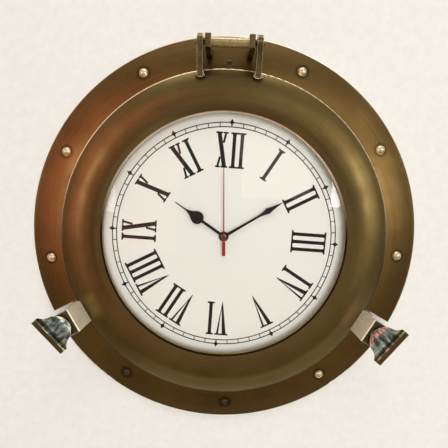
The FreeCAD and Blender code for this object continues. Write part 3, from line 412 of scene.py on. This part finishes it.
def turned_brass(name):
    """Aged brass with faint rings from the lathe, darker patches and worn edges, and painted bands of
    reflection, highlight and shade on the door and round its edges.
    """
    paint = Paint(name, Metallic=1.0, Anisotropic=0.35)
    place = paint.place()
    turned = paint.turned(place)
    radius = paint.split(turned)["X"]
    height = paint.split(place)["Z"]
    rings = paint.noise(paint.vector_math("MULTIPLY", turned, (1500, 2.5, 1500)), 1.0, 3.0, 0.6)
    blotches = paint.noise(place, 14.0, 4.0, 0.6)
    on_door = paint.before(radius, DOOR_ENDS)
    tone = aged_and_shaded_tone(paint, place, rings, blotches, on_door)
    tone = painted_door_bands(paint, place, radius, height, on_door, tone)
    tone = worn_and_painted_edges(paint, radius, height, tone)
    tangent = paint.node("Tangent", {"direction_type": "RADIAL", "axis": "Y"}).outputs[0]
    paint.set(Base_Color=tone, Roughness=paint.span(blotches, 0.3, 0.7, 0.42, 0.30), Tangent=tangent)
    paint.bump(rings, 0.06)
    return paint.material


def hinge_highlight_zones(paint, place, tone):
    """A lighter tube in the middle of the hinge as a painted reflection, and bright rivets and dog fittings
    outside it, polished brass that also stands in for their highlights.
    """
    across = paint.math("ABSOLUTE", paint.split(place)["X"])
    # painted reflection: the tube is lighter than the rest of the hinge
    tone = paint.mix(paint.span(across, *TUBE_ENDS, 0.75, 0.0), tone, (0.66, 0.56, 0.33))
    return paint.mix(paint.span(across, *HINGE_ENDS, 0.0, 0.85), tone, (0.90, 0.79, 0.55))


def cast_brass(name, dark, middle, bright, edge, roughness):
    """Filed and worn brass: darker in its corners with painted shade and grime, and bright along its worn
    edges.
    """
    paint = Paint(name, Metallic=1.0)
    place = paint.place()
    patches = paint.noise(place, 60.0, 4.0, 0.6)
    marks = paint.noise(place, 300.0, 3.0, 0.65)
    tone = paint.ramp(patches, [(0.32, dark), (0.50, middle), (0.70, bright)])
    tone = paint.mix(paint.span(marks, 0.45, 0.80, 0.0, 0.45), tone, bright)
    tone = hinge_highlight_zones(paint, place, tone)
    # painted shade and grime: darker deep in corners
    corner_shade_and_grime = paint.span(paint.corners(0.004), 0.30, 0.85)
    tone = paint.mix(corner_shade_and_grime, tuple(c * 0.30 for c in dark), tone)
    tone = paint.mix(paint.worn_edges(0.0009), tone, edge)
    paint.set(Base_Color=tone, Roughness=paint.span(marks, 0.35, 0.7, roughness + 0.08, roughness - 0.06))
    paint.bump(marks, 0.10)
    return paint.material


def filed_brass_shaded_by_facing(name, face, sides, streak, edge, roughness, metallic):
    """Brass with one tone on its front face and another on its sides, painted light and reflection by which
    way each faces, and bright edges between them.
    """
    paint = Paint(name, Metallic=metallic)
    marks = paint.noise(paint.vector_math("MULTIPLY", paint.place(), (260, 60, 260)), 1.0, 3.0, 0.6)
    side_tone = paint.mix(paint.span(marks, 0.40, 0.62), sides, streak)
    # painted light and reflection: the front face and the sides take different tones by which way they face
    tone = paint.mix(paint.facing_front(), side_tone, face)
    tone = paint.mix(paint.worn_edges(0.0008), tone, edge)
    paint.set(Base_Color=tone, Roughness=paint.span(marks, 0.35, 0.7, roughness + 0.05, roughness - 0.05))
    return paint.material


def plain_metal(name, colour, roughness):
    paint = Paint(name, Metallic=1.0)
    marks = paint.noise(paint.place(), 300.0, 4.0, 0.6)
    low = tuple(c * 0.75 for c in colour)
    paint.set(Base_Color=paint.ramp(marks, [(0.3, low), (0.7, colour)]),
              Roughness=paint.span(marks, 0.3, 0.7, roughness + 0.08, roughness - 0.05))
    paint.bump(marks, 0.08)
    return paint.material


def satin(name, colour, roughness, scale=500.0, depth=0.06, speck=0.92, shine=0.5):
    """Paint, plastic or rubber with a fine grain."""
    paint = Paint(name, Specular_IOR_Level=shine)
    grain = paint.noise(paint.place(), scale, 5.0, 0.6)
    low = tuple(c * speck for c in colour)
    paint.set(Base_Color=paint.ramp(grain, [(0.35, low), (0.65, colour)]),
              Roughness=paint.span(grain, 0.3, 0.7, roughness + 0.06, roughness - 0.06))
    paint.bump(grain, depth)
    return paint.material


def clear_glass(name):
    """Thin clear glass: what lies behind it, with the room's reflection on top."""
    material = bpy.data.materials.new(name)
    material.use_nodes = True
    material.node_tree.nodes.clear()
    nodes = Nodes(material.node_tree)
    clear = nodes.node("BsdfTransparent", None, Color=(0.985, 0.99, 0.985, 1))
    shine = nodes.node("BsdfGlossy", None, Roughness=0.02)
    fresnel = nodes.node("Fresnel", None, IOR=1.45).outputs[0]
    outside = nodes.math("SUBTRACT", 1.0, nodes.node("NewGeometry").outputs["Backfacing"])
    nodes.end_in_mix(nodes.math("MULTIPLY", fresnel, outside), clear, shine)
    return material


def copper(name):
    """Fine enamelled wire, wound in turns round the coil."""
    paint = Paint(name, Metallic=1.0, Roughness=0.35)
    wave = paint.node("TexWave", {"bands_direction": "Z"}, Vector=paint.place(), Scale=1200.0, Distortion=0.6)
    turns = wave.outputs["Fac"]
    paint.set(Base_Color=paint.ramp(turns, [(0.0, (0.22, 0.07, 0.02)), (1.0, (0.62, 0.24, 0.09))]))
    paint.bump(turns, 0.3)
    return paint.material


def make_materials():
    return {
        "aged_brass": turned_brass("aged_brass"),
        "hinge_brass": cast_brass("hinge_brass", dark=(0.120, 0.092, 0.042), middle=(0.20, 0.152, 0.070),
                                  bright=(0.32, 0.25, 0.12), edge=(1.0, 0.90, 0.66), roughness=0.28),
        # the greenish-grey sides of the polished brass, with their light streaks, are a painted reflection
        "polished_brass": filed_brass_shaded_by_facing("polished_brass", face=(0.17, 0.115, 0.042),
                                      sides=(0.085, 0.095, 0.080), streak=(0.42, 0.50, 0.46),
                                      edge=(1.0, 0.86, 0.56), roughness=0.18, metallic=1.0),
        # the ear's dark front face is painted shade and its bright sides are painted light
        "ear_brass": filed_brass_shaded_by_facing("ear_brass", face=(0.060, 0.044, 0.018), sides=(0.88, 0.79, 0.58),
                                 streak=(0.95, 0.88, 0.68), edge=(1.0, 0.93, 0.74), roughness=0.30,
                                 metallic=0.20),
        "case_brass": plain_metal("case_brass", (0.48, 0.35, 0.17), 0.38),
        "cover_steel": satin("cover_steel", (0.030, 0.030, 0.031), 0.45),
        "screw_steel": plain_metal("screw_steel", (0.16, 0.13, 0.11), 0.30),
        "glass": clear_glass("glass"),
        "rubber": satin("rubber", (0.030, 0.029, 0.028), 0.75),
        "dial_enamel": satin("dial_enamel", (0.87, 0.85, 0.80), 0.45, scale=900.0, depth=0.02, speck=0.985),
        "hand_black": satin("hand_black", (0.010, 0.008, 0.008), 0.45, scale=700.0, depth=0.03, shine=0.12),
        "hand_red": satin("hand_red", (0.30, 0.012, 0.018), 0.40, scale=700.0, depth=0.03, shine=0.2),
        "movement_plastic": satin("movement_plastic", (0.022, 0.022, 0.024), 0.5),
        "gear_plastic": satin("gear_plastic", (0.80, 0.78, 0.72), 0.4),
        "magnet_iron": plain_metal("magnet_iron", (0.40, 0.40, 0.41), 0.35),
        "copper_wire": copper("copper_wire"),
        "board_green": satin("board_green", (0.03, 0.17, 0.06), 0.4),
        "bright_metal": plain_metal("bright_metal", (0.78, 0.77, 0.74), 0.18),
        "battery_wrap": satin("battery_wrap", (0.06, 0.09, 0.14), 0.35),
    }


def dress_cad(materials):
    slots = {part["node"]: part["material_slot"] for part in frame["record"]["subparts"]}
    for name, thing in nodes.items():
        material = materials[slots[name]]
        if thing.data.materials:
            for index in range(len(thing.data.materials)):
                thing.data.materials[index] = material
        else:
            thing.data.materials.append(material)


# ---- mesh helpers -----------------------------------------------------------------------------------
def finish_piece(name, mesh_builder, body, material):
    mesh = bpy.data.meshes.new(name)
    bmesh.ops.recalc_face_normals(mesh_builder, faces=mesh_builder.faces)
    mesh_builder.to_mesh(mesh)
    mesh_builder.free()
    mesh.materials.append(material)
    piece = bpy.data.objects.new(name, mesh)
    bpy.context.scene.collection.objects.link(piece)
    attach(piece, body)
    return piece


def add_prism(builder, outline, back, front, turn=0.0):
    """A closed flat shape from an outline of (across, up) millimetres, turned clockwise round the clock."""
    spin = Matrix.Rotation(math.radians(turn), 4, "Y")
    near = [builder.verts.new(spin @ (Vector((x, -front, z)) * MM)) for x, z in outline]
    far = [builder.verts.new(spin @ (Vector((x, -back, z)) * MM)) for x, z in outline]
    builder.faces.new(near)
    builder.faces.new(far[::-1])
    count = len(outline)
    for i in range(count):
        builder.faces.new((near[i], near[(i + 1) % count], far[(i + 1) % count], far[i]))


def ring_of_points(builder, radius, depth, segments):
    points = []
    for i in range(segments):
        angle = 2 * math.pi * i / segments
        point = Vector((radius * math.sin(angle), -depth, radius * math.cos(angle))) * MM
        points.append(builder.verts.new(point))
    return points


def add_flat_ring(builder, inner, outer, back, front, segments=360):
    corners = ((inner, back), (outer, back), (outer, front), (inner, front))
    rows = [ring_of_points(builder, radius, depth, segments) for radius, depth in corners]
    for a, b in zip(rows, rows[1:] + rows[:1]):
        for i in range(segments):
            j = (i + 1) % segments
            builder.faces.new((a[i], a[j], b[j], b[i]))


def add_lathe(builder, profile, segments=64):
    """Turns (radius, depth) points about the clock's axis. A radius of 0 closes the shape on the axis."""
    rows = [ring_of_points(builder, radius, depth, segments if radius else 1) for radius, depth in profile]
    for a, b in zip(rows, rows[1:]):
        for i in range(segments):
            j = (i + 1) % segments
            corners = [a[i % len(a)], a[j % len(a)], b[j % len(b)], b[i % len(b)]]
            builder.faces.new(list(dict.fromkeys(corners)))


# ---- dial print -------------------------------------------------------------------------------------
def stem_outline(middle):
    """An upright stroke that flares into the serifs at both ends."""
    low, high = NUMERAL_FOOT + SERIF_THICK, NUMERAL_HEAD - SERIF_THICK
    half, flare, rise = STEM / 2, STEM_FLARE, STEM_FLARE_RISE
    right = [(half + flare, low), (half + flare * 0.3, low + rise * 0.4), (half, low + rise),
             (half, high - rise), (half + flare * 0.3, high - rise * 0.4), (half + flare, high)]
    left = [(-x, z) for x, z in reversed(right)]
    return [(middle + x, z) for x, z in right + left]


def bar_outline(left, right, at_head):
    if at_head:
        low, high = NUMERAL_HEAD - SERIF_THICK, NUMERAL_HEAD
    else:
        low, high = NUMERAL_FOOT, NUMERAL_FOOT + SERIF_THICK
    return [(left, low), (right, low), (right, high), (left, high)]


def stroke(foot_middle, head_middle, width, low_share=0.0, high_share=1.0):
    """A slanted stroke between the two serif lines; the shares cut it short."""
    low, high = NUMERAL_FOOT + SERIF_THICK, NUMERAL_HEAD - SERIF_THICK
    points = []
    for share, side in ((low_share, 1), (high_share, 1), (high_share, -1), (low_share, -1)):
        middle = foot_middle + (head_middle - foot_middle) * share
        points.append((middle + side * width / 2, low + (high - low) * share))
    return points


def stems(left, count):
    """The outlines of one or more I's with joined serifs, and their width."""
    middles = [left + SERIF + STEM / 2 + STEM_PITCH * i for i in range(count)]
    right = middles[-1] + STEM / 2 + SERIF
    shapes = [stem_outline(middle) for middle in middles]
    shapes += [bar_outline(left, right, True), bar_outline(left, right, False)]
    return shapes, right - left


def letter_x(left):
    """A thick stroke from head left to foot right, and a thin one in two parts the other way."""
    inset = SERIF + DIAGONAL / 2 - 0.3
    near, far = left + inset, left + X_WIDTH - inset
    thick = DIAGONAL * SLANT
    thin = HAIRLINE * SLANT
    gap = (thick + thin) / 2 / (2 * (far - near)) * X_BREAK
    shapes = [stroke(far, near, thick), stroke(near, far, thin, 0, 0.5 - gap),
              stroke(near, far, thin, 0.5 + gap, 1)]
    for middle, width, at_head in ((near, DIAGONAL, True), (far, DIAGONAL, False), (far, HAIRLINE, True),
                                   (near, HAIRLINE, False)):
        half = width / 2 + SERIF * 0.75
        shapes.append(bar_outline(middle - half, middle + half, at_head))
    return shapes, X_WIDTH


def letter_v(left):
    """A thick left stroke and a thin right one that meet in a point at the foot."""
    thick, thin = DIAGONAL * 1.1, HAIRLINE * 1.1
    head_left = left + SERIF + thick / 2
    head_right = left + V_WIDTH - SERIF - thin / 2
    apex = left + V_WIDTH / 2 + 0.4
    foot, head = NUMERAL_FOOT - 0.2, NUMERAL_HEAD - SERIF_THICK
    crotch = foot + V_CROTCH
    outline = [(head_left - thick / 2, head), (apex - 0.25, foot), (apex + 0.25, foot),
               (head_right + thin / 2, head), (head_right - thin / 2, head), (apex + 0.55, crotch),
               (head_left + thick / 2, head)]
    shapes = [outline]
    for middle, width in ((head_left, thick), (head_right, thin)):
        half = width / 2 + SERIF
        shapes.append(bar_outline(middle - half, middle + half, True))
    return shapes, V_WIDTH


def numeral_shapes(text):
    """The outlines of a numeral, centred across."""
    shapes = []
    left = 0.0
    i = 0
    while i < len(text):
        count = 1
        if text[i] == "I":
            count = len(text[i:]) - len(text[i:].lstrip("I"))
            made, width = stems(left, count)
        elif text[i] == "X":
            made, width = letter_x(left)
        else:
            made, width = letter_v(left)
        shapes += made
        left += width + LETTER_GAP
        i += count
    middle = (left - LETTER_GAP) / 2
    return [[(x - middle, z) for x, z in shape] for shape in shapes]


def diamond_outline():
    """A four-pointed mark with hollow sides."""
    middle = (DIAMOND_IN + DIAMOND_OUT) / 2
    tips = [(0, DIAMOND_OUT), (DIAMOND_HALF, middle), (0, DIAMOND_IN), (-DIAMOND_HALF, middle)]
    points = []
    for (x0, z0), (x1, z1) in zip(tips, tips[1:] + tips[:1]):
        points.append((x0, z0))
        points.append(((x0 + x1) / 2 * DIAMOND_HOLLOW, middle + ((z0 + z1) / 2 - middle) * DIAMOND_HOLLOW))
    return points


def add_dial_print(materials):
    plate_front = -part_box("dial_plate")[0].y / MM
    back, front = plate_front - 0.02, plate_front + PRINT_THICK
    ink = materials["hand_black"]
    numerals = bmesh.new()
    for hour, text in NUMERALS.items():
        for shape in numeral_shapes(text):
            add_prism(numerals, shape, back, front, DIAL_TURN + hour * 30)
    finish_piece("dial_numerals", numerals, "porthole", ink)
    track = bmesh.new()
    for radius in (TRACK_OUTER, TRACK_INNER):
        add_flat_ring(track, radius - TRACK_LINE / 2, radius + TRACK_LINE / 2, back, front)
    for minute in range(60):
        half = TICK_HALF if minute % 5 else HOUR_TICK_HALF
        tick = [(-half, TRACK_INNER), (half, TRACK_INNER), (half, TRACK_OUTER), (-half, TRACK_OUTER)]
        add_prism(track, tick, back, front, DIAL_TURN + minute * 6)
    for hour in range(12):
        add_prism(track, diamond_outline(), back, front + 0.01, DIAL_TURN + hour * 30)
    finish_piece("dial_minute_track", track, "porthole", ink)


def add_hub_cap(materials):
    """The small brass cap over the second hand's arbor."""
    base = -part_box("second_hand")[0].y / MM
    cap = bmesh.new()
    profile = [(0, base - 0.1), (CAP_R - 0.1, base - 0.1), (CAP_R, base + 0.1), (CAP_R, base + CAP_SIDE)]
    for step in range(1, CAP_STEPS):
        angle = math.radians(step * 90 / CAP_STEPS)
        profile.append((CAP_R * math.cos(angle), base + CAP_SIDE + CAP_DOME * math.sin(angle)))
    profile.append((0, base + CAP_SIDE + CAP_DOME))
    add_lathe(cap, profile)
    piece = finish_piece("hub_cap", cap, "second_body", materials["polished_brass"])
    for face in piece.data.polygons:
        face.use_smooth = True


add_camera()
add_world()
add_stage()
add_lights()
materials = make_materials()
dress_cad(materials)
add_dial_print(materials)
add_hub_cap(materials)
